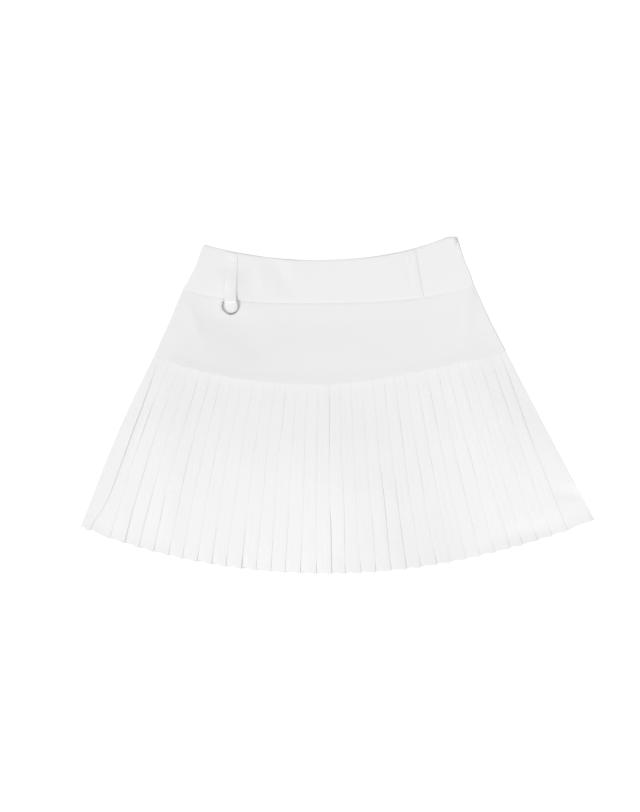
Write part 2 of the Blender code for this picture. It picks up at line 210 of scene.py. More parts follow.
def smooth_through(knots, values, at):
    """A smooth curve through values at rising knots, read at one place."""
    index, t = find_gap(knots, at)
    slopes = []
    for k in (index, index + 1):
        before, after = max(k - 1, 0), min(k + 1, len(knots) - 1)
        slopes.append((values[after] - values[before]) / (knots[after] - knots[before]))
    lean = slopes[0] * t * (1.0 - t) ** 2 - slopes[1] * t * t * (1.0 - t)
    lean *= knots[index + 1] - knots[index]
    return lerp(values[index], values[index + 1], smooth_step(0.0, 1.0, t)) + lean


def knots_of(names):
    """The share of the way down each named level stands, measured at the left outline."""
    knots = runs([(LEVELS[name].left_x, LEVELS[name].left_y) for name in names])
    return [knot / knots[-1] for knot in knots]


def level_on(names, share):
    """The level that lies at a share of the way down through the named ones."""
    knots = knots_of(names)
    columns = zip(*(LEVELS[name] for name in names))
    return Level(*(smooth_through(knots, column, share) for column in columns))


class Line:
    """One level as a measured curve: point(s) is the place s millimetres along it from the left."""

    STEPS = 160

    def __init__(self, level):
        self.level = level
        self.lengths = runs([self.at_share(share) for share in spaced(0.0, 1.0, self.STEPS)])
        self.length = self.lengths[-1]

    def at_share(self, share):
        level = self.level
        x = lerp(level.left_x, level.right_x, share)
        swing = 2.0 * share / (1.0 - level.right_flat) - 1.0
        bend = level.left_bend if swing < 0.0 else level.right_bend
        bow = max(0.0, 1.0 - abs(swing) ** bend)
        return x, lerp(level.left_y, level.right_y, share) - level.sag * bow

    def point(self, s):
        index, share = find_gap(self.lengths, min(max(s, 0.0), self.length))
        return self.at_share((index + share) / self.STEPS)

    def y_at(self, x):
        level = self.level
        share = (x - level.left_x) / (level.right_x - level.left_x)
        return self.at_share(min(max(share, 0.0), 1.0))[1]


LINES = {name: Line(level) for name, level in LEVELS.items()}


# ---- the lie of the front

# How high the front stands above its flat lie: up to PUFF_HEIGHTS across the skirt, shared out down
# it by PUFF_SHARES, where 0 is the waistband seam, 1 the yoke seam and 2 the hem. HEM_HEIGHTS is how
# high the hem itself stands at the same stations.
PUFF_STATIONS = (-240.0, -140.0, -50.0, 60.0, 150.0, 230.0)
PUFF_HEIGHTS = (5.5, 6.2, 5.0, 4.2, 2.6, 3.0)
PUFF_WAY = (0.0, 0.3, 1.0, 1.4, 2.0)
PUFF_SHARES = (0.0, 0.04, 0.68, 1.0, 0.0)
HEM_HEIGHTS = (1.2, 1.4, 2.2, 4.2, 2.4, 0.3)
SEAM_ROLL = 0.35
SEAM_ROLL_WIDTH = 8.0
LEFT_FADE = 50.0
RIGHT_FADE = 60.0
EDGE_FADE = 6.0
RIPPLE_HEIGHT = 0.35
RIPPLE_LENGTH = 55.0

# Where the front's hem lifts towards its edge: the x where each lift starts, is full, fades and ends,
# how far above the hem it reaches, and its height.
HemLift = namedtuple("HemLift", "along reach height")
HEM_LIFTS = (
    HemLift((-345.0, -330.0, -260.0, -190.0), 14.0, 0.45),
    HemLift((-80.0, 25.0, 110.0, 190.0), 80.0, 3.3),
    HemLift((150.0, 215.0, 330.0, 350.0), 24.0, 1.4),
)


def hem_lift(x, from_hem):
    """How far the hem's lifts raise a place that is so far above the hem."""
    total = 0.0
    for lift in HEM_LIFTS:
        near = max(0.0, 1.0 - max(from_hem, 0.0) / lift.reach)
        total += lift.height * near**2 * window(*lift.along, x)
    return total


def outline_x(y, side):
    """The x of the left or the right outline at a height on the laid skirt."""
    places = [(getattr(level, side + "_y"), getattr(level, side + "_x")) for level in LEVELS.values()]
    for (high, x_high), (low, x_low) in zip(places, places[1:]):
        if y >= low:
            break
    return lerp(x_high, x_low, (high - y) / (high - low))


def ridge(crease, x, y):
    """Height of one crease at a place: a bell across it that fades in and out along it."""
    along = Vector((crease.end_x - crease.start_x, crease.end_y - crease.start_y))
    offset = Vector((x - crease.start_x, y - crease.start_y))
    share = offset.dot(along) / along.length_squared
    away = (offset - along * share).length
    return crease.height * window(-0.25, 0.4, 0.6, 1.25, share) * bell(away, crease.width)


def front_rise(x, y):
    """How far the front stands above its flat lie: puffed at the pleats, with soft creases."""
    band_y, seam_y, hem_y = (LINES[name].y_at(x) for name in ("band_seam", "yoke_seam", "hem"))
    from_left, from_right = x - outline_x(y, "left"), outline_x(y, "right") - x
    down_yoke = (band_y - y) / (band_y - seam_y)
    down_pleats = (seam_y - y) / (seam_y - hem_y)
    right_side = lerp(smooth_step(0.0, RIGHT_FADE, from_right), 1.0, smooth_step(0.1, 0.6, down_pleats))
    sides = smooth_step(0.0, LEFT_FADE, from_left) * right_side
    way = max(0.0, down_yoke) if y > seam_y else min(1.0 + down_pleats, 2.0)
    station = min(max(x, PUFF_STATIONS[0]), PUFF_STATIONS[-1])
    puff = smooth_through(PUFF_STATIONS, PUFF_HEIGHTS, station) * smooth_through(PUFF_WAY, PUFF_SHARES, way)
    low = smooth_through(PUFF_STATIONS, HEM_HEIGHTS, station)
    puff += low * smooth_step(PUFF_WAY[-2], PUFF_WAY[-1], way)
    roll = SEAM_ROLL * bell(y - seam_y, SEAM_ROLL_WIDTH)
    swell = sum(ridge(crease, x, y) for crease in SWELLS) * smooth_step(0.0, 0.6, down_pleats)
    fold = sum(ridge(crease, x, y) for crease in CREASES)
    ripple = RIPPLE_HEIGHT * wander(x / RIPPLE_LENGTH, y / RIPPLE_LENGTH, 2.0)
    ripple *= smooth_step(0.2, 0.6, down_yoke)
    edge = smooth_step(0.0, EDGE_FADE, min(from_left, from_right))
    return sides * (puff + roll + swell) + edge * (fold + ripple + hem_lift(x, y - hem_y))


# ---- materials


class NodeBench:
    """A small helper that adds nodes to one tree and joins them."""

    def __init__(self, tree):
        self.tree = tree

    def add(self, kind, inputs=None, **settings):
        """A new node with its settings, and its sockets fed."""
        node = self.tree.nodes.new(kind)
        for name, value in settings.items():
            setattr(node, name, value)
        self.feed(node, inputs or {})
        return node

    def feed(self, node, inputs):
        """Joins a node's sockets to other nodes' outputs, or sets plain values on them."""
        for socket, value in inputs.items():
            if isinstance(value, bpy.types.NodeSocket):
                self.tree.links.new(value, node.inputs[socket])
            elif value is not None:
                node.inputs[socket].default_value = value

    def math(self, operation, first, second=None):
        return self.add("ShaderNodeMath", {0: first, 1: second}, operation=operation).outputs[0]

    def noise(self, place, scale, detail, roughness=0.5):
        inputs = {"Vector": place, "Scale": scale, "Detail": detail, "Roughness": roughness}
        return self.add("ShaderNodeTexNoise", inputs).outputs["Fac"]

    def mix_color(self, factor, first, second):
        inputs = {"Factor": factor, 6: first, 7: second}
        return self.add("ShaderNodeMix", inputs, data_type="RGBA").outputs[2]


class Finish(NodeBench):
    """A material in the making. What is the same all over it is set on the shader's own sockets."""

    def __init__(self, name, plain):
        self.material = bpy.data.materials.new(name)
        self.material.use_nodes = True
        super().__init__(self.material.node_tree)
        self.shader = self.tree.nodes["Principled BSDF"]
        self.feed(self.shader, plain)

    def place(self):
        return self.add("ShaderNodeTexCoord").outputs["Object"]

    def mottle(self, scale, detail, first, second):
        """Colours the surface in soft clouds, and gives the clouds back as a mask."""
        colors = {"First": (*first, 1.0), "Second": (*second, 1.0)}
        inputs = {"Place": self.place(), "Scale": scale, "Detail": detail, **colors}
        mottled = self.add("ShaderNodeGroup", inputs, node_tree=MOTTLE).outputs
        self.feed(self.shader, {"Base Color": mottled["Color"]})
        return mottled["Clouds"]

    def roughen(self, mask, low, high):
        """Roughness that follows a mask, from low to high."""
        spread = self.add("ShaderNodeMapRange", {"Value": mask, "To Min": low, "To Max": high})
        self.feed(self.shader, {"Roughness": spread.outputs[0]})

    def emboss(self, height, strength, depth):
        """Fine relief, with its depth in metres."""
        bump = self.add("ShaderNodeBump", {"Strength": strength, "Distance": depth, "Height": height})
        self.feed(self.shader, {"Normal": bump.outputs[0]})


def new_group(name, inputs, outputs):
    """A node group with only its sockets: its bench, what it is given, and its end node."""
    group = bpy.data.node_groups.new(name, "ShaderNodeTree")
    for way, sockets in (("INPUT", inputs), ("OUTPUT", outputs)):
        for socket, kind in sockets.items():
            group.interface.new_socket(socket, in_out=way, socket_type="NodeSocket" + kind)
    bench = NodeBench(group)
    return bench, bench.add("NodeGroupInput").outputs, bench.add("NodeGroupOutput")


def weave_group():
    """Plain weave: warp and weft yarns pass over each other in turn, with slubby, irregular yarns. Its
    colour holds painted shade between the yarn crowns, and random clouds of tone.
    """
    bench, given, made = new_group(
        "plain weave",
        {"Cloth Place": "Vector", "Yarns Per Metre": "Float", "Cloth": "Color", "Shade": "Color"},
        {"Color": "Color", "Height": "Float", "Nap": "Float"},
    )
    place = given["Cloth Place"]
    split = bench.add("ShaderNodeSeparateXYZ", {0: place})
    turns = bench.math("MULTIPLY", given["Yarns Per Metre"], pi)
    across = bench.math("SINE", bench.math("MULTIPLY", split.outputs["X"], turns))
    down = bench.math("SINE", bench.math("MULTIPLY", split.outputs["Y"], turns))
    over = bench.math("GREATER_THAN", bench.math("MULTIPLY", across, down), 0.0)
    yarns = {"Factor": over, 2: bench.math("ABSOLUTE", across), 3: bench.math("ABSOLUTE", down)}
    crowns = bench.add("ShaderNodeMix", yarns, data_type="FLOAT").outputs[0]
    stretch = bench.add("ShaderNodeVectorMath", {0: place, 1: (1.0, 0.06, 1.0)}, operation="MULTIPLY")
    slub = bench.noise(stretch.outputs[0], scale=900.0, detail=2.0)
    clouds = bench.noise(place, scale=14.0, detail=3.0)
    # Painted shade: the colour darkens towards Shade where the yarn crowns are low, in the hollows where
    # shade falls. The clouds add random tone on top.
    between = bench.math("MULTIPLY", bench.math("SUBTRACT", 1.0, crowns), 0.35)
    yarn_shade_and_cloud_tone = bench.math("ADD", between, bench.math("MULTIPLY", clouds, 0.3))
    results = {
        "Color": bench.mix_color(yarn_shade_and_cloud_tone, given["Cloth"], given["Shade"]),
        "Height": bench.math("ADD", crowns, bench.math("MULTIPLY", slub, 0.6)),
        "Nap": bench.noise(place, scale=2600.0, detail=2.0, roughness=0.7),
    }
    bench.feed(made, results)
    return bench.tree


def mottle_group():
    """Soft clouds of a second colour over the first."""
    bench, given, made = new_group(
        "mottle",
        {"Place": "Vector", "Scale": "Float", "Detail": "Float", "First": "Color", "Second": "Color"},
        {"Color": "Color", "Clouds": "Float"},
    )
    clouds = bench.noise(given["Place"], given["Scale"], given["Detail"])
    color = bench.mix_color(clouds, given["First"], given["Second"])
    bench.feed(made, {"Color": color, "Clouds": clouds})
    return bench.tree


def cloth_material(name, look):
    """Matt woven cloth with a faint sheen."""
    finish = Finish(name, {"Specular IOR Level": 0.25, "Sheen Weight": 0.12, "Sheen Roughness": 0.4})
    inputs = {
        "Cloth Place": finish.add("ShaderNodeUVMap", uv_map="cloth").outputs["UV"],
        "Yarns Per Metre": look.yarns,
        "Cloth": (*look.color, 1.0),
        "Shade": (*look.shade, 1.0),
    }
    weave = finish.add("ShaderNodeGroup", inputs, node_tree=WEAVE).outputs
    finish.feed(finish.shader, {"Base Color": weave["Color"]})
    finish.roughen(weave["Nap"], look.roughness - 0.06, look.roughness + 0.06)
    finish.emboss(weave["Height"], look.bump, depth=0.00008)
    return finish.material


def metal_material(name, color, roughness):
    """Plated wire, a little brighter and rougher where it has been handled."""
    finish = Finish(name, {"Metallic": 1.0})
    clouds = finish.mottle(420.0, 3.0, color, [value * 1.35 for value in color])
    finish.roughen(clouds, roughness - 0.06, roughness + 0.1)
    hairlines = finish.noise(finish.place(), scale=5200.0, detail=2.0, roughness=0.7)
    finish.emboss(hairlines, strength=0.15, depth=0.00002)
    return finish.material


def enamel_material(name, color):
    """Stoved white enamel on a small casting, with a faint orange-peel surface."""
    finish = Finish(name, {"Roughness": 0.32})
    finish.mottle(300.0, 2.0, color, [value * 0.9 for value in color])
    peel = finish.noise(finish.place(), scale=1800.0, detail=2.0)
    finish.emboss(peel, strength=0.2, depth=0.00003)
    return finish.material


def thread_material(name, color):
    """Twisted sewing thread."""
    finish = Finish(name, {"Roughness": 0.7, "Sheen Weight": 0.2})
    inputs = {"Vector": finish.place(), "Scale": 1600.0, "Distortion": 1.5}
    twist = finish.add("ShaderNodeTexWave", inputs, bands_direction="DIAGONAL").outputs["Fac"]
    # Painted shade: the thread's colour darkens in the grooves of its twist, where shade falls.
    painted_twist_shade = [value * 0.86 for value in color]
    shade = finish.mix_color(twist, (*painted_twist_shade, 1.0), (*color, 1.0))
    finish.feed(finish.shader, {"Base Color": shade})
    finish.emboss(twist, strength=0.4, depth=0.00004)
    return finish.material


def floor_material():
    """Plain pale studio paper, lit from within so that it stays white round the skirt."""
    glow = {"Emission Color": (1.0, 1.0, 1.0, 1.0), "Emission Strength": 0.45}
    finish = Finish("studio_paper", {"Roughness": 0.9, **glow})
    finish.mottle(60.0, 3.0, (0.95, 0.95, 0.95), (0.93, 0.93, 0.93))
    return finish.material


WEAVE = weave_group()
MOTTLE = mottle_group()

# Each cloth's colour, its shade colour (painted shade between the yarns, and random clouds of tone), its
# yarns to the metre, how far they stand out and how rough they are.
ClothLook = namedtuple("ClothLook", "color shade yarns bump roughness")
CLOTH_LOOKS = {
    "band_cloth": ClothLook((0.792, 0.792, 0.792), (0.722, 0.722, 0.727), 2600.0, 0.5, 0.82),
    # The ring's loop is painted lighter than the band: painted light that offsets the shade on its lifted
    # end.
    "loop_cloth": ClothLook((0.815, 0.815, 0.815), (0.75, 0.75, 0.755), 2600.0, 0.5, 0.82),
    "yoke_cloth": ClothLook((0.78, 0.78, 0.78), (0.71, 0.71, 0.715), 2600.0, 0.5, 0.82),
    "pleat_cloth": ClothLook((0.785, 0.785, 0.785), (0.72, 0.72, 0.725), 2600.0, 0.5, 0.8),
    "zip_tape": ClothLook((0.78, 0.78, 0.78), (0.66, 0.66, 0.66), 1700.0, 0.8, 0.75),
}
CLOTH = {name: cloth_material(name, look) for name, look in CLOTH_LOOKS.items()}
THREAD = thread_material("sewing_thread", (0.82, 0.82, 0.82))
RING_METAL = metal_material("ring_metal", (0.34, 0.34, 0.345), 0.3)
ENAMEL = enamel_material("zip_enamel", (0.78, 0.78, 0.78))


# ---- shells


def put_in_scene(name, data, material=None):
    made = bpy.data.objects.new(name, data)
    bpy.context.scene.collection.objects.link(made)
    if material:
        data.materials.append(material)
    return made


def final_mesh(made):
    """A new mesh of an object, with what its modifiers or its curve's settings add to it."""
    bpy.context.view_layer.update()
    depsgraph = bpy.context.evaluated_depsgraph_get()
    return bpy.data.meshes.new_from_object(
        made.evaluated_get(depsgraph), preserve_all_data_layers=True, depsgraph=depsgraph
    )


def soften(mesh, sharp_from=60.0):
    """Smooth shading, except over edges that turn by more than sharp_from degrees."""
    mesh.shade_smooth()
    mesh.set_sharp_from_angle(angle=radians(sharp_from))


def map_cloth(mesh, places):
    """Keeps each point's place on the cloth as the mesh's UV map."""
    layer = mesh.uv_layers.new(name="cloth")
    for loop in mesh.loops:
        layer.data[loop.index].uv = places[loop.vertex_index]


def add_modifier(made, kind, **settings):
    modifier = made.modifiers.new(kind.lower(), kind)
    for name, value in settings.items():
        setattr(modifier, name, value)


def shell(name, rows, wall, material):
    """A closed cloth shell through rows of (x, y, z), with the cloth's own measures as its UV map."""
    across = len(rows[0])
    points = [tuple(value * MM for value in point) for row in rows for point in row]
    faces = []
    for down in range(len(rows) - 1):
        for side in range(across - 1):
            corner = down * across + side
            faces.append((corner, corner + across, corner + across + 1, corner + 1))
    mesh = bpy.data.meshes.new(name)
    mesh.from_pydata(points, [], faces)
    map_cloth(mesh, cloth_places(rows))
    made = put_in_scene(name, mesh, material)
    add_modifier(made, "SOLIDIFY", thickness=wall * MM, offset=0.0, use_even_offset=False)
    made.data = final_mesh(made)
    made.modifiers.clear()
    bpy.data.meshes.remove(mesh)
    soften(made.data)
    return made


def cloth_places(rows):
    """For each point, its distance along the cloth from the middle, and down it from the top."""
    places = []
    middle = len(rows[0]) // 2
    for row, down in zip(rows, runs([row[middle] for row in rows])):
        along = runs(row)
        places += [((run - along[middle]) * MM, down * MM) for run in along]
    return places


def arc(centre, radius, start_deg, end_deg, segments):
    """Points on an arc in a plane, from start_deg to end_deg."""
    x, y = centre
    turns = [radians(angle) for angle in spaced(start_deg, end_deg, segments)]
    return [(x + radius * cos(turn), y + radius * sin(turn)) for turn in turns]


def settle(made, body, node):
    """Lets a piece ride on a body and stands it in for the solid that it hides."""
    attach(made, body)
    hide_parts(node)


def make_panel(name, rows, wall, slot):
    """One wall of the skirt, as a cloth shell that stands in for its solid."""
    made = shell(name + "_cloth", rows, wall, CLOTH[slot])
    settle(made, "skirt", name)


# ---- waistband and yoke

ACROSS = 150
BAND_ROWS = 22
YOKE_ROWS = 42
TOP_ROLL = 1.9
TOP_ROLL_FALL = 1.3
SEAM_TUCK = 1.6
SEAM_TUCK_FALL = 0.42
BAND_LOW_EDGE_FALL = 0.14
LEFT_CORNER = 5.5
RIGHT_CORNER = 1.8

# The zip lies ZIP_INSET inside the right outline, and each wall falls a little towards it over its lip.
# ZIP_PARTED says how far below the waist edge it starts to part round the bail, is parted, starts to
# close and is closed.
ZIP_INSET = 4.2
ZIP_FROM_ROLL = 0.4
ZIP_LIP_FALL = 0.07
ZIP_LIP_WIDTH = 2.2
ZIP_LIP_WAY = (0.0, 0.35, 0.6, 0.8, 1.0)
ZIP_GAP = 0.05
ZIP_GAP_AT_BAIL = 0.94
ZIP_PARTED = (0.6, 3.2, 9.0, 12.0)

# Where the waist edge is pressed over most sharply, and how wide each such place is.
WAIST_TURNS = ((-118.0, 16.0), (-66.0, 14.0), (72.0, 30.0), (146.0, 11.0))

# Where along x the seam under the band starts to show, shows fully, fades and is faint again.
SEAM_SHOWN = (-205.0, -120.0, 95.0, 170.0)
FAINT = 0.3

# How far the corners cut in at the left and the right end of a row, and how far the zip gapes there.
BandEnds = namedtuple("BandEnds", "left right gap")
SQUARE_ENDS = BandEnds(0.0, 0.0, ZIP_GAP)


def corner_inset(below, radius):
    """How far a rounded corner of the waist cuts in, so far below the waist edge."""
    cut_in = radius - min(below, radius)
    return radius - sqrt(radius**2 - cut_in**2)


def band_ends(line):
    """How the band ends at one level: its rounded corners, and the zip parted round the bail."""
    waist = LINES["waist"]
    left = dist(line.point(0.0), waist.point(0.0))
    right = dist(line.point(line.length), waist.point(waist.length))
    gap = lerp(ZIP_GAP, ZIP_GAP_AT_BAIL, window(*ZIP_PARTED, right))
    return BandEnds(corner_inset(left, LEFT_CORNER), corner_inset(right, RIGHT_CORNER), gap)


def half_depth(level):
    """Half the height from the back wall to the front wall."""
    return (level.front_z - level.back_z) / 2


def zip_line(level, length, wall, ends):
    """How far along a level the closed zip lies: beside the outline, and in past the waist's corner."""
    return length - max(ZIP_INSET, wall / 2 + half_depth(level) + ends.right + ZIP_FROM_ROLL)


def zip_lip(level, start, end):
    return [(lerp(start, end, t), level.front_z - ZIP_LIP_FALL * t * t) for t in ZIP_LIP_WAY]


def side_turn(level, wall, ends, z, way):
    """How far in a wall's turn from the side seam ends, and the turn: down (1) or up (-1) to the seam."""
    radius = half_depth(level) - SIDE_SEAM_GAP / 2
    start = wall / 2 + ends.left + radius
    return start, arc((start, z - way * radius), radius, 180, 180 - 90 * way, 5)


def front_section(level, length, wall, ends):
    """The plain front wall: turned down to the side seam on the left, cut off along the zip."""
    start, turn = side_turn(level, wall, ends, level.front_z, 1)
    end = zip_line(level, length, wall, ends) - ends.gap / 2
    lip_start = end - ZIP_LIP_WIDTH
    flat = [(x, level.front_z) for x in spaced(start, lip_start, ACROSS)[1:]]
    return turn + flat + zip_lip(level, lip_start, end)[1:]


def back_section(level, length, wall, ends):
    """The plain back wall: turned up to the side seam on the left, rolled over to the zip."""
    start, turn = side_turn(level, wall, ends, level.back_z, -1)
    rise = half_depth(level)
    roll_x = length - wall / 2 - rise - ends.right
    flat = [(x, level.back_z) for x in spaced(start, roll_x, ACROSS)[1:-1]]
    roll = arc((roll_x, level.back_z + rise), rise, -90, 90, 10)
    lip_end = zip_line(level, length, wall, ends) + ends.gap / 2
    lip_start = min(roll_x - 0.1, lip_end + ZIP_LIP_WIDTH)
    return turn + flat + roll + zip_lip(level, lip_start, lip_end)


def seam_depth(x):
    """How deep the waistband seam shows: clear across the middle, pressed away to the sides."""
    return lerp(FAINT, 1.0, window(*SEAM_SHOWN, x))


def waist_turn(x):
    """How far the waist edge turns over, which changes along it."""
    return lerp(FAINT, 1.0, max(bell(x - place, width) for place, width in WAIST_TURNS))


def plain_rows(names, shares, section, wall, rising):
    """Rows of points down a plain panel. Each share may carry a height to drop and a y to add."""
    rows = []
    for share, drop, shift_y in shares:
        level = level_on(names, share)
        line = Line(level)
        ends = band_ends(line) if names == BAND else SQUARE_ENDS
        row = []
        for s, z in section(level, line.length, wall, ends):
            x, y = line.point(s)
            upper = smooth_step(level.back_z, level.front_z, z)
            shown = seam_depth(x) if names == YOKE or share > 0.9 else waist_turn(x)
            height = z + rising * upper * front_rise(x, y)
            height -= drop * shown * (upper if rising else 2.0 * upper - 1.0)
            row.append((x, y + shift_y, height))
        rows.append(row)
    return rows


def band_shares():
    """The band's rows: rolled over at the waist edge, then down to its lower edge."""
    depth = LEVELS["waist"].left_y - LEVELS["band_seam"].left_y
    shares = []
    for angle in (80, 60, 40, 20):
        turn = radians(angle)
        away = TOP_ROLL * (1.0 - sin(turn)) / depth
        shares.append((away, TOP_ROLL_FALL * (1.0 - cos(turn)), 0.0))
    first = TOP_ROLL / depth
    shares += [(share, 0.0, 0.0) for share in spaced(first, 1.0, BAND_ROWS)[:-1]]
    shares.append((1.0, BAND_LOW_EDGE_FALL, -0.2))
    return shares


def yoke_shares():
    """The yoke's rows: tucked under the band at the top, then down to the pleats."""
    shares = [(0.0, SEAM_TUCK_FALL, SEAM_TUCK), (0.0, SEAM_TUCK_FALL, 0.4)]
    shares.append((0.008, SEAM_TUCK_FALL * 0.45, 0.0))
    shares += [(share, 0.0, 0.0) for share in spaced(0.02, 1.0, YOKE_ROWS)[:-1]]
    shares.append((1.0, 0.0, -0.3))
    return shares


def make_plain_panels():
    """The front and the back of the waistband, then of the yoke."""
    for part, names, shares, wall, slot in (
        ("waistband", BAND, band_shares(), BAND_CLOTH, "band_cloth"),
        ("yoke", YOKE, yoke_shares(), YOKE_CLOTH, "yoke_cloth"),
    ):
        for side, section, rising in (("front", front_section, 1.0), ("back", back_section, 0.0)):
            rows = plain_rows(names, shares, section, wall, rising)
            make_panel(part + "_" + side, rows, wall, slot)


# ---- pleats

PLEAT_ROWS = 58
FRONT_BASE = 4.05
BACK_BASE = 0.05

# How the points lie across a pleat's face, and the shares of it where its height falls and the cloth
# sinks towards the next fold.
FACE_WAY = (0.04, 0.1, 0.18, 0.3, 0.42, 0.47, 0.5, 0.53, 0.58, 0.75, 0.88, 0.95, 1.0)
FALL_WAY = (0.4, 1.15)
FALL_POWER = 0.8
SINK_WAY = (0.55, 1.05)
FACE_END = 0.11
FACE_END_DRIFT = 0.05
DIVE = 0.1
FOLD_ROLL = 0.07
WIDEST_PITCH = 20.0
UNDERLAY_START = 0.8
UNDERLAY_SINK = 0.7

# Just below the yoke seam the pleats are pressed flatter.
SEAM_PRESS = 0.1
SEAM_PRESSED = 0.72

# What a pleat does along an open stretch, and at its open corner by the hem.
CLOSED_GAP = 0.03
OPEN_GAP = 0.7
OPEN_LIFT = 0.34
OPEN_SINK = 0.3
OPEN_FACE_END = 0.1
OPEN_DIVE = 1.6
CORNER_FROM = 0.91
CORNER_GAP = 1.9
CORNER_LIFT = 0.7
CORNER_SINK = 1.1

# How the folds slant at the hem and wander on the way down, and the faint mark pressed down each face.
HEM_SLANT = 1.9
HEM_SLANT_FROM = 0.8
WOBBLE = 2.6
OPEN_BY_DRIFT = 0.35
PRESS_AT = 0.5
PRESS_WIDTH = 0.045
PRESS_DEPTH = 0.16
PRESS_BASE = 0.4

# No two folds lie the same. Each drift changes so fast from fold to fold and on the way down, and starts
# at its own place in the noise.
Drift = namedtuple("Drift", "across down start")
FOLD_DRIFT = Drift(3.7, 2.6, 0.0)
OPEN_DRIFT = Drift(5.3, 3.0, 7.0)
OPEN_FLUTTER = Drift(4.1, 11.0, 17.0)
CORNER_DRIFT = Drift(9.1, 1.0, 0.0)
FACE_DRIFT = Drift(6.1, 3.4, 27.0)
PRESS_DRIFT = Drift(2.9, 4.2, 37.0)

# Soft streaks down the cloth: how high they stand, and their drift across the skirt and down it.
STREAKS = ((0.16, Drift(24.0, 1.8, 5.0)), (0.06, Drift(75.0, 2.6, 5.0)))

# The first fold bulges on its way down and flares at the hem, and the last pleat curls at the side.
STRIP_BULGE = 3.5
STRIP_BULGE_END = 0.95
STRIP_FLARE = 9.0
STRIP_FLARE_FROM = 0.76
SIDE_CURL = 0.7
SIDE_CLEAR = 0.45


def drifted(drift, index, share, seed):
    """How far a place has drifted, from about -1 to 1."""
    return wander(index * drift.across, share * drift.down, seed + drift.start)


def row_shares():
    """Shares of the way down the pleats, closer together at the seam and at the hem."""
    return [lerp(t, 0.5 - 0.5 * cos(pi * t), 0.7) for t in spaced(0.0, 1.0, PLEAT_ROWS)]


def fold_places(length, share, seed):
    """Where the folds cross a row, wandering a little on the way down."""
    knots = knots_of(PLEATS)
    first, last = (smooth_through(knots, folds, share) for folds in (FIRST_FOLDS, LAST_FOLDS))
    places = spaced(first * length, last * length, PLEAT_COUNT - 1)
    wobble = WOBBLE * lerp(0.25, 1.0, share)
    for index in range(PLEAT_COUNT):
        places[index] += wobble * drifted(FOLD_DRIFT, index, share, seed)
    places[0] += STRIP_BULGE * sin(pi * min(share / STRIP_BULGE_END, 1.0))
    places[0] -= STRIP_FLARE * smooth_step(STRIP_FLARE_FROM, 1.0, share) ** 1.5
    return places


def openness(index, share, seed):
    """How far a pleat stands open along its length, from pressed flat at 0."""
    drift = drifted(OPEN_DRIFT, index, share, seed) + 0.5 * drifted(OPEN_FLUTTER, index, share, seed)
    total = max(0.0, OPEN_BY_DRIFT * drift)
    for start, end, strength in OPEN_STRETCHES.get(index, ()):
        soft = 0.25 * (end - start) + 0.02
        total += strength * window(start - soft, start + soft, end - soft, end + soft, share)
    return total


def corner_openness(index, share, seed):
    """How far the corner of a fold stands open at the hem."""
    strength = next(strength for last, strength in OPEN_CORNERS if index <= last)
    strength *= 1.0 + 0.5 * drifted(CORNER_DRIFT, index, 0.5, seed)
    return strength * smooth_step(CORNER_FROM, 1.0, share)


def streak_height(across, down):
    """How high the streaks stand at a share of the way across and down the pleats."""
    return sum(height * drifted(drift, across, down, 0.0) for height, drift in STREAKS)


PleatOpening = namedtuple("PleatOpening", "opened corner gap sunk")

# A point is so far along its row and so high, and takes a share of the slant at the hem.
PleatPoint = namedtuple("PleatPoint", "s height slant")


def pleat_opening(index, share, seed, loose):
    """How far a pleat and its corner stand open, the gap at its fold, and how far the cloth sinks there."""
    opened = loose * openness(index, share, seed)
    corner = loose * corner_openness(index, share, seed)
    gap = CLOSED_GAP + OPEN_GAP * opened + CORNER_GAP * corner
    return PleatOpening(opened, corner, gap, CORNER_SINK * corner + OPEN_SINK * opened)


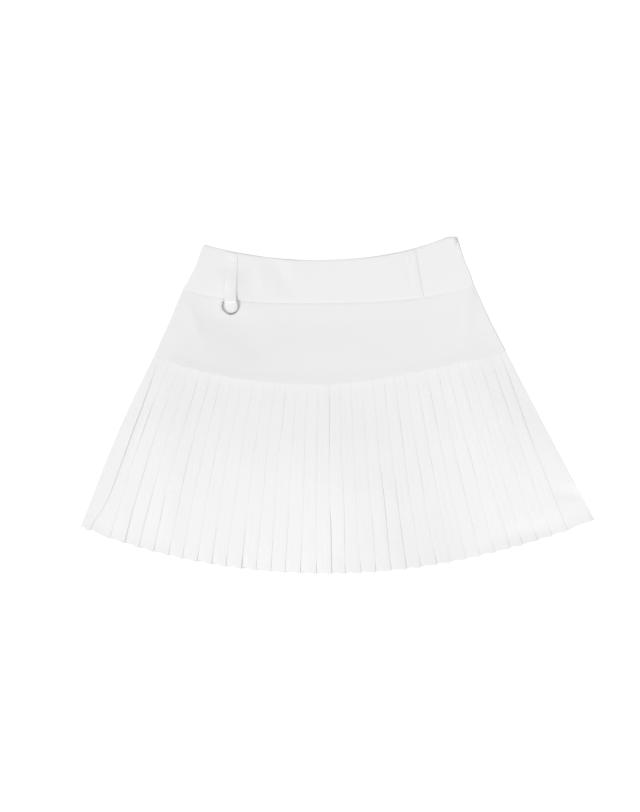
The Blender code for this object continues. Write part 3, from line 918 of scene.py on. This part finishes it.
def pleat_section(length, share, seed, loose):
    """One row of the pleated wall, measured from the right outline, as heights above its inner layer.

    Each fold edge stands at the right of its own face and overlaps the next face. loose is 1 where
    pleats may stand open and 0 where they lie pressed.
    """
    folds = [length - place for place in reversed(fold_places(length, share, seed))]
    openings = [pleat_opening(index, share, seed, loose) for index in reversed(range(PLEAT_COUNT))]
    edge = PLEAT_CLOTH / 2
    turn = LAYER_STEP / 2
    points = [PleatPoint(edge, 0.0, 0.3)]
    strip_end = folds[0] - openings[0].gap - DIVE
    for u in FACE_WAY:
        points.append(PleatPoint(lerp(edge, strip_end, u), FACE_END * sin(pi * u), -u))
    for count, (fold, here) in enumerate(zip(folds, openings)):
        after = folds[count + 1] if count + 1 < PLEAT_COUNT else length
        points.append(PleatPoint(fold - here.gap, -here.sunk, -0.6))
        points.append(PleatPoint(fold + UNDERLAY_START, -UNDERLAY_SINK * here.sunk, 0.0))
        far = fold + min(after - fold, WIDEST_PITCH) * UNDERLAY_SHARE
        points += [PleatPoint(s, z, -0.4) for s, z in arc((far, turn), turn, -90, 90, 2)]
        top = 2 * LAYER_STEP + OPEN_LIFT * here.opened + CORNER_LIFT * here.corner
        edge_turn = (top - LAYER_STEP) / 2
        near = fold + edge_turn
        fold_edge = arc((near, LAYER_STEP + edge_turn), edge_turn, 270, 90, 4)
        points += [PleatPoint(s, z, 1.0) for s, z in fold_edge]
        if count + 1 < PLEAT_COUNT:
            beyond = openings[count + 1]
            face_end = after - beyond.gap - DIVE - OPEN_DIVE * beyond.opened
            low = FACE_END + OPEN_FACE_END * beyond.opened
            low += FACE_END_DRIFT * drifted(FACE_DRIFT, count, share, seed)
            sunk = beyond.sunk
        else:
            face_end = length - edge - SIDE_CURL
            low = LAYER_STEP
            sunk = 0.0
        pressed = PRESS_DEPTH * max(0.0, PRESS_BASE + drifted(PRESS_DRIFT, count, share, seed))
        for u in FACE_WAY:
            height = lerp(top, low, smooth_step(*FALL_WAY, u) ** FALL_POWER)
            height -= pressed * bell(u - PRESS_AT, PRESS_WIDTH)
            height += FOLD_ROLL * sin(pi * sqrt(u)) - sunk * smooth_step(*SINK_WAY, u)
            points.append(PleatPoint(lerp(near, face_end, u), height, lerp(1.0, -1.0, u)))
    curl = arc((length - edge - SIDE_CURL, LAYER_STEP - SIDE_CURL), SIDE_CURL, 90, 10, 4)
    points += [PleatPoint(s, z, -1.0) for s, z in curl[1:]]
    return points


def pleat_rows(facing_up):
    """Rows of points down a pleated wall, each ending at the side seam."""
    rows = []
    seed = 3.0 if facing_up else 8.0
    loose = 1.0 if facing_up else 0.0
    top, hem = LEVELS["yoke_seam"], LEVELS["hem"]
    left_way = Vector((hem.left_x - top.left_x, hem.left_y - top.left_y)).normalized()
    right_way = Vector((hem.right_x - top.right_x, hem.right_y - top.right_y)).normalized()
    for share in row_shares():
        line = Line(level_on(PLEATS, share))
        press = smooth_step(0.0, SEAM_PRESS, share)
        slanting = HEM_SLANT * smooth_step(HEM_SLANT_FROM, 1.0, share)
        row = []
        for place in pleat_section(line.length, share, seed, loose * press):
            s = line.length - place.s if facing_up else place.s
            x, y = line.point(s)
            way = left_way.lerp(right_way, s / line.length)
            x += way.x * slanting * place.slant
            y += way.y * slanting * place.slant
            height = place.height * lerp(SEAM_PRESSED, 1.0, press)
            if facing_up:
                z = FRONT_BASE + PLEAT_CLOTH / 2 + height + front_rise(x, y)
                z += streak_height(s / line.length, share) * press
            else:
                z = BACK_BASE + PLEAT_CLOTH / 2 + max(0.0, 2 * LAYER_STEP - height)
            row.append((x, y, z))
        side_z = BACK_BASE + SIDE_CLEAR if facing_up else FRONT_BASE + front_rise(x, y) - 0.1
        row.append((x, y, side_z))
        rows.append(row)
    return rows


def make_pleats():
    for side in ("front", "back"):
        make_panel("pleats_" + side, pleat_rows(side == "front"), PLEAT_CLOTH, "pleat_cloth")


# ---- belt loops, their threads and the ring

LoopStrip = namedtuple("LoopStrip", "waist_x foot_x width raised_edge")
LoopRow = namedtuple("LoopRow", "left right arch")
RING_STRIP = LoopStrip(-138.2, -139.6, 15.5, 0.08)
PLAIN_STRIP = LoopStrip(96.0, 106.8, 12.5, 0.0)
STRIP_STEPS = 40
STRIP_INSET = 2.4
CLEARANCE = 0.03
STRIP_LOW = LEVELS["band_seam"].front_z + BAND_CLOTH / 2 + CLEARANCE + LOOP_CLOTH / 2
PLAIN_BULGE = 0.2
PLAIN_FOOT_RISE = 1.0

# The ring's loop lifts off the band towards its foot, wraps the ring's bar and ends in a tail behind.
RING_LIFT_FROM = 0.15
RING_LIFT_POWER = 2.2
ARCH_SHARE = 0.85
WRAP_STEPS = 20
TAIL_STEPS = 6
TAIL_LENGTH = 9.0
TAIL_RISE = 0.08

RING_SHOWN_WIRE = 1.4
RING_RADIUS = 10.6
RING_BAR_RISE = 6.0
RING_CORNER = 1.8
RING_BAR_Y = 134.3
RING_BAR_Z = 7.4
WRAP_CLEARANCE = 0.05
WRAP_RADIUS = RING_SHOWN_WIRE / 2 + WRAP_CLEARANCE + LOOP_CLOTH / 2

# Stitches run along a loop's edges, and a bar tack is a zigzag of them. STITCH_ROUND is a stitch's girth
# and lift on its way along.
STITCH_START = 1.2
STITCH_END = 0.5
STITCH_LENGTH = 2.2
STITCH_PITCH = 2.7
STITCH_RADIUS = 0.12
STITCH_INSET = 1.8
STITCH_ROUND = ((0.0, 0.3, -1.0), (0.14, 0.85, 0.1), (0.5, 1.0, 0.55), (0.86, 0.85, 0.1), (1.0, 0.3, -1.0))
TACK_RADIUS = 0.07
TACK_WIDTH = 0.72
TACK_HEIGHT = 1.3
TACK_TURNS = 14


def middles_of(rows):
    return [(row.left + row.right) / 2 for row in rows]


def flat_tube(name, rows, material):
    """A pressed tube of cloth, swept through loop rows, with rounded sides that may droop."""
    round_side = arc((0.0, 0.0), LOOP_CLOTH / 2, 90, -90, 6)
    middles = middles_of(rows)
    rings, places = [], []
    for row, middle, down, way in zip(rows, middles, runs(middles), headings(middles)):
        width = row.right - row.left
        aside = width.normalized()
        up = way.cross(aside).normalized()
        half = width.length / 2 - LOOP_CLOTH / 2
        profile = [(c, LOOP_CLOTH / 2) for c in spaced(-half, half, 12)[1:-1]]
        profile += [(half + x, z) for x, z in round_side]
        profile += [(-x, -z) for x, z in profile]
        places += [(along * MM, down * MM) for along in runs(profile)]
        rings.append(
            [middle + aside * c + up * (h - row.arch * (c / half) ** 2) for c, h in profile]
        )
    work = bmesh.new()
    skin(work, rings)
    mesh = mesh_of(work, name, face_out=True)
    map_cloth(mesh, places)
    soften(mesh, 50.0)
    return put_in_scene(name, mesh, material)


def mesh_of(work, name, face_out=False):
    """A new mesh of what has been worked."""
    if face_out:
        bmesh.ops.recalc_face_normals(work, faces=work.faces)
    mesh = bpy.data.meshes.new(name)
    work.to_mesh(mesh)
    work.free()
    return mesh


def loop_row(plan, share, foot_y, z, arch=0.0):
    """One row of a belt loop, at a share of the way from the waist to its foot."""
    middle_x = lerp(plan.waist_x, plan.foot_x, share)
    ends = []
    for side in (-0.5, 0.5):
        x = middle_x + side * plan.width
        y = lerp(LINES["waist"].y_at(x) - STRIP_INSET, foot_y, share)
        raised = plan.raised_edge * (side + 0.5) * sin(pi * min(share, 1.0)) ** 0.7
        ends.append(Vector((x, y, z + raised)))
    return LoopRow(*ends, arch)


def plain_loop_rows():
    foot_y = LINES["band_seam"].y_at(PLAIN_STRIP.foot_x) + PLAIN_FOOT_RISE
    rows = []
    for share in spaced(0.0, 1.0, STRIP_STEPS):
        bulge = PLAIN_BULGE * sin(pi * share) ** 2
        rows.append(loop_row(PLAIN_STRIP, share, foot_y, STRIP_LOW + bulge, bulge))
    return rows


def ring_loop_rows():
    """Down over the band, round the ring's bar and back up behind itself."""
    rows = []
    for share in spaced(0.0, 1.0, STRIP_STEPS)[:-1]:
        way = max(0.0, share - RING_LIFT_FROM) / (1.0 - RING_LIFT_FROM)
        x = lerp(RING_STRIP.waist_x, RING_STRIP.foot_x, share)
        y = lerp(LINES["waist"].y_at(x) - STRIP_INSET, RING_BAR_Y, share)
        lying = STRIP_LOW + front_rise(x, y)
        lift = (RING_BAR_Z + WRAP_RADIUS - lying) * way**RING_LIFT_POWER
        arch = ARCH_SHARE * lift * (1.0 - smooth_step(0.75, 1.0, share))
        rows.append(loop_row(RING_STRIP, share, RING_BAR_Y, lying + lift, arch))
    for y, z in arc((RING_BAR_Y, RING_BAR_Z), WRAP_RADIUS, 90, 270, WRAP_STEPS):
        rows.append(loop_row(RING_STRIP, 1.0, y, z))
    for share in spaced(0.0, 1.0, TAIL_STEPS)[1:]:
        y = RING_BAR_Y + TAIL_LENGTH * share
        lying = STRIP_LOW + TAIL_RISE + front_rise(RING_STRIP.foot_x, y)
        z = lerp(RING_BAR_Z - WRAP_RADIUS, lying, smooth_step(0.0, 1.0, share))
        rows.append(loop_row(RING_STRIP, 1.0, y, z))
    return rows


def skin(work, rings):
    """Faces from each ring of points to the next, with a cap at both ends."""
    made = [[work.verts.new(point * MM) for point in ring] for ring in rings]
    for low, high in zip(made, made[1:]):
        for i in range(len(low)):
            after = (i + 1) % len(low)
            work.faces.new((low[i], low[after], high[after], high[i]))
    work.faces.new(list(reversed(made[0])))
    work.faces.new(made[-1])


def wire_ring(centre, aside, up, radius, count):
    """A ring of points round a wire or a thread."""
    turns = [2.0 * pi * i / count for i in range(count)]
    return [centre + (aside * cos(turn) + up * sin(turn)) * radius for turn in turns]


def stitch(work, start, end, up, radius):
    """One stitch: a slim bead of thread that arches out of the cloth and back into it."""
    along = (end - start).normalized()
    aside = along.cross(up).normalized()
    rings = []
    for t, girth, lift in STITCH_ROUND:
        centre = start.lerp(end, t) + up * (lift * radius)
        rings.append(wire_ring(centre, aside, up, girth * radius, 8))
    skin(work, rings)


def place_on(rows, run, across):
    """The point on a loop's upper face, a way down its path and across it, with the way up."""
    middles = middles_of(rows)
    index, share = find_gap(runs(middles), run)
    here, there = rows[index], rows[index + 1]
    left = here.left.lerp(there.left, share)
    right = here.right.lerp(there.right, share)
    up = (middles[index + 1] - middles[index]).cross(right - left).normalized()
    droop = lerp(here.arch, there.arch, share) * (2.0 * across) ** 2
    return left.lerp(right, 0.5 + across) + up * (LOOP_CLOTH / 2 - droop), up


def path_length(rows):
    return runs(middles_of(rows))[-1]


def loop_threads(name, rows, plan, face_rows, tacks):
    """Edge stitching down both sides of a belt loop, and its bar tacks."""
    work = bmesh.new()
    face_length = path_length(rows[:face_rows])
    edge = 0.5 - STITCH_INSET / plan.width
    for across in (-edge, edge):
        run = STITCH_START
        while run + STITCH_LENGTH < face_length - STITCH_END:
            start, up = place_on(rows, run, across)
            end, _ = place_on(rows, run + STITCH_LENGTH, across)
            stitch(work, start, end, up, STITCH_RADIUS)
            run += STITCH_PITCH
    for tack in tacks:
        corners = []
        for count, across in enumerate(spaced(-TACK_WIDTH / 2, TACK_WIDTH / 2, 2 * TACK_TURNS)):
            run = tack if count % 2 else tack + TACK_HEIGHT
            corners.append(place_on(rows, run, across))
        for (start, up), (end, _) in zip(corners, corners[1:]):
            stitch(work, start, end, up, TACK_RADIUS)
    mesh = mesh_of(work, name)
    soften(mesh, 70.0)
    made = put_in_scene(name, mesh, THREAD)
    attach(made, "skirt")
    return made


def make_loops():
    """Each loop: its cloth, its strip and rows, how many rows face up, and how far down its tacks are."""
    for name, cloth, plan, rows, face_rows, tacks in (
        ("belt_loop_ring", "loop_cloth", RING_STRIP, ring_loop_rows(), STRIP_STEPS, (3.0, 12.0)),
        ("belt_loop_plain", "band_cloth", PLAIN_STRIP, plain_loop_rows(), STRIP_STEPS + 1, (3.0, 47.0)),
    ):
        made = flat_tube(name + "_cloth", rows, CLOTH[cloth])
        settle(made, "skirt", name)
        threads = loop_threads(name + "_threads", rows, plan, face_rows, tacks)


def ring_outline():
    """The D: its bar along the top, corners turned in arcs, the rest one round bow."""
    corner_x = sqrt((RING_RADIUS - RING_CORNER) ** 2 - (RING_BAR_RISE - RING_CORNER) ** 2)
    meet = degrees(atan2(RING_BAR_RISE - RING_CORNER, corner_x))
    right = arc((corner_x, -RING_CORNER), RING_CORNER, 90, meet, 8)
    bow = arc((0.0, -RING_BAR_RISE), RING_RADIUS, meet, -180 - meet, 84)
    left = arc((-corner_x, -RING_CORNER), RING_CORNER, 180 - meet, 90, 8)
    return right + bow[1:-1] + left


def make_ring():
    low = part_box("d_ring")[0]
    reach = RING_RADIUS + RING_BAR_RISE
    rest_z = low.z / MM + RING_SHOWN_WIRE / 2
    curve = bpy.data.curves.new("d_ring_wire", "CURVE")
    curve.dimensions = "3D"
    curve.bevel_depth = RING_SHOWN_WIRE / 2 * MM
    curve.bevel_resolution = 6
    outline = ring_outline()
    spline = curve.splines.new("POLY")
    spline.points.add(len(outline) - 1)
    for point, (x, y) in zip(spline.points, outline):
        point.co = (x * MM, y * MM, 0.0, 1.0)
    spline.use_cyclic_u = True
    wire = put_in_scene("d_ring_bent_wire", curve)
    wire.location = (RING_STRIP.foot_x * MM, RING_BAR_Y * MM, RING_BAR_Z * MM)
    wire.rotation_euler = (asin((RING_BAR_Z - rest_z) / reach), 0.0, 0.0)
    mesh = final_mesh(wire)
    mesh.transform(wire.matrix_world)
    bpy.data.objects.remove(wire)
    mesh.materials.clear()
    soften(mesh)
    settle(put_in_scene("d_ring_wire", mesh, RING_METAL), "ring", "d_ring")


# ---- zip

# The tape, with the raised chain along it.
TAPE_START = 0.35
TAPE_END = 0.75
TAPE_BAND_STEPS = 12
TAPE_YOKE_STEPS = 16
TAPE_ACROSS = 40
TAPE_WIDTH = 20.0
TAPE_CLOTH = 0.6
TAPE_LIFT = 1.0
TAPE_INSET = 0.6
CHAIN_HALF = 2.0
CHAIN_RAISE = 0.5

# The slider's body reaches from behind the pull's pivot to ahead of it, along the zip. Each row of its
# profile is a height and how far the body's outline is drawn in there. The bail stands on two narrow
# feet and spreads out above them. PULL_EDGE rounds the pull.
SLIDER_WIDTH = 3.6
SLIDER_BEHIND = 1.8
SLIDER_AHEAD = 4.2
SLIDER_PROFILE = ((1.5, 0.5), (1.62, 0.16), (1.9, 0.0), (2.8, 0.0), (3.08, 0.16), (3.2, 0.5))
BAIL_RADIUS = 1.4
BAIL_WIRE = 0.52
BAIL_FOOT_Z = 2.8
BAIL_SPREAD = 2.8
PULL_EDGE = 0.25


def tape_rows():
    """The tapes and the closed chain between the walls, from under the slider to inside the yoke."""
    rows = []
    first = knots_of(BAND)[1] * TAPE_START
    last = lerp(knots_of(YOKE)[1], 1.0, TAPE_END)
    stations = [(BAND, share) for share in spaced(first, 1.0, TAPE_BAND_STEPS)[:-1]]
    stations += [(YOKE, share) for share in spaced(0.0, last, TAPE_YOKE_STEPS)]
    for names, share in stations:
        level = level_on(names, share)
        line = Line(level)
        outer = line.length - TAPE_INSET - half_depth(level)
        chain = line.length - ZIP_INSET
        row = []
        for s in spaced(outer - TAPE_WIDTH, outer, TAPE_ACROSS):
            raised = CHAIN_RAISE * smooth_step(CHAIN_HALF, CHAIN_HALF * 0.6, abs(s - chain))
            x, y = line.point(s)
            row.append((x, y, level.back_z + BAND_CLOTH / 2 + TAPE_LIFT + raised))
        rows.append(row)
    return rows


def make_slider():
    """The slider's body, which lies under the cloth, and the wire bail that the pull hangs on."""
    joints = frame["record"]["behaviour"]["joints"]
    joint = next(joint for joint in joints if joint["name"] == "pull_swing")
    pivot = Vector(joint["pos_m"]) / MM
    aside = -Vector(joint["axis"])
    up = Vector((0.0, 0.0, 1.0))
    ahead = aside.cross(up)
    work = bmesh.new()
    body = []
    for z, drawn_in in SLIDER_PROFILE:
        radius = SLIDER_WIDTH / 2 - drawn_in
        nose = arc((SLIDER_AHEAD - SLIDER_WIDTH / 2, 0.0), radius, -90, 90, 8)
        tail = arc((SLIDER_WIDTH / 2 - SLIDER_BEHIND, 0.0), radius, 90, 270, 8)
        middle = pivot + up * (z - pivot.z)
        body.append([middle + ahead * along + aside * across for along, across in nose + tail])
    skin(work, body)
    foot = BAIL_FOOT_Z - pivot.z
    path = [(BAIL_RADIUS, foot), *arc((0.0, 0.0), BAIL_RADIUS, 0, 180, 12), (-BAIL_RADIUS, foot)]
    centres = [pivot + ahead * along + up * high for along, high in path]
    bail = []
    for centre, way in zip(centres, headings(centres)):
        spread = lerp(1.0, BAIL_SPREAD, smooth_step(-0.2, 0.8, centre.z - pivot.z))
        bail.append(wire_ring(centre, aside * spread, way.cross(aside), BAIL_WIRE / 2, 12))
    skin(work, bail)
    mesh = mesh_of(work, "zip_slider_cast", face_out=True)
    soften(mesh, 50.0)
    settle(put_in_scene("zip_slider_cast", mesh, ENAMEL), "skirt", "zip_slider")


def make_zip():
    rows = tape_rows()
    made = shell("zip_tape_cloth", rows, TAPE_CLOTH, CLOTH["zip_tape"])
    settle(made, "skirt", "zip_tape")
    make_slider()
    pull = frame["nodes"]["zip_pull"]
    pull.data.materials.clear()
    pull.data.materials.append(ENAMEL)
    for polygon in pull.data.polygons:
        polygon.use_smooth = True
    turn = radians(40.0)
    edge = {"width": PULL_EDGE * MM, "segments": 3, "limit_method": "ANGLE", "angle_limit": turn}
    add_modifier(pull, "WELD", merge_threshold=0.01 * MM)
    add_modifier(pull, "BEVEL", harden_normals=True, **edge)


make_plain_panels()
make_pleats()
make_loops()
make_ring()
make_zip()

# ---- floor, light and camera

CENTRE = (CAD_BOX[0] + CAD_BOX[1]) / 2
CAMERA_ABOVE = 2.2
CAMERA_ASIDE = -0.0229
CAMERA_DOWN = -0.0015
LENS = 74.4
SKY_STRENGTH = 0.645
FLOOR_WIDTH = 8.0
FLOOR_Z = -0.0003

SoftBox = namedtuple("SoftBox", "place size power")
SOFT_BOXES = {
    "key_soft_box": SoftBox((-4.4, -5.2, 4.1), 3.2, 525.0),
    "fill_soft_box": SoftBox((1.3, -0.35, 1.1), 0.9, 5.5),
}


def make_floor():
    bpy.ops.mesh.primitive_plane_add(size=FLOOR_WIDTH, location=(CENTRE.x, CENTRE.y, FLOOR_Z))
    floor = bpy.context.object
    floor.name = "studio_floor"
    floor.data.materials.append(floor_material())


def make_light():
    """A white sky, and soft boxes that face the middle of the skirt."""
    world = bpy.data.worlds.new("studio")
    world.use_nodes = True
    sky = world.node_tree.nodes["Background"]
    sky.inputs["Color"].default_value = (1.0, 1.0, 1.0, 1.0)
    sky.inputs["Strength"].default_value = SKY_STRENGTH
    bpy.context.scene.world = world
    for name, box in SOFT_BOXES.items():
        light = bpy.data.lights.new(name, "AREA")
        light.shape = "SQUARE"
        light.size = box.size
        light.energy = box.power
        lamp = put_in_scene(name, light)
        lamp.location = box.place
        lamp.rotation_euler = (CENTRE - lamp.location).to_track_quat("-Z", "Y").to_euler()


def make_camera():
    """A camera above the skirt that looks straight down."""
    data = bpy.data.cameras.new("front_camera")
    data.sensor_width = 36.0
    data.lens = LENS
    camera = put_in_scene("front_camera", data)
    camera.location = (CENTRE.x + CAMERA_ASIDE, CENTRE.y + CAMERA_DOWN, CAMERA_ABOVE)
    bpy.context.scene.camera = camera


make_floor()
make_light()
make_camera()
bpy.context.scene.view_settings.view_transform = "Standard"
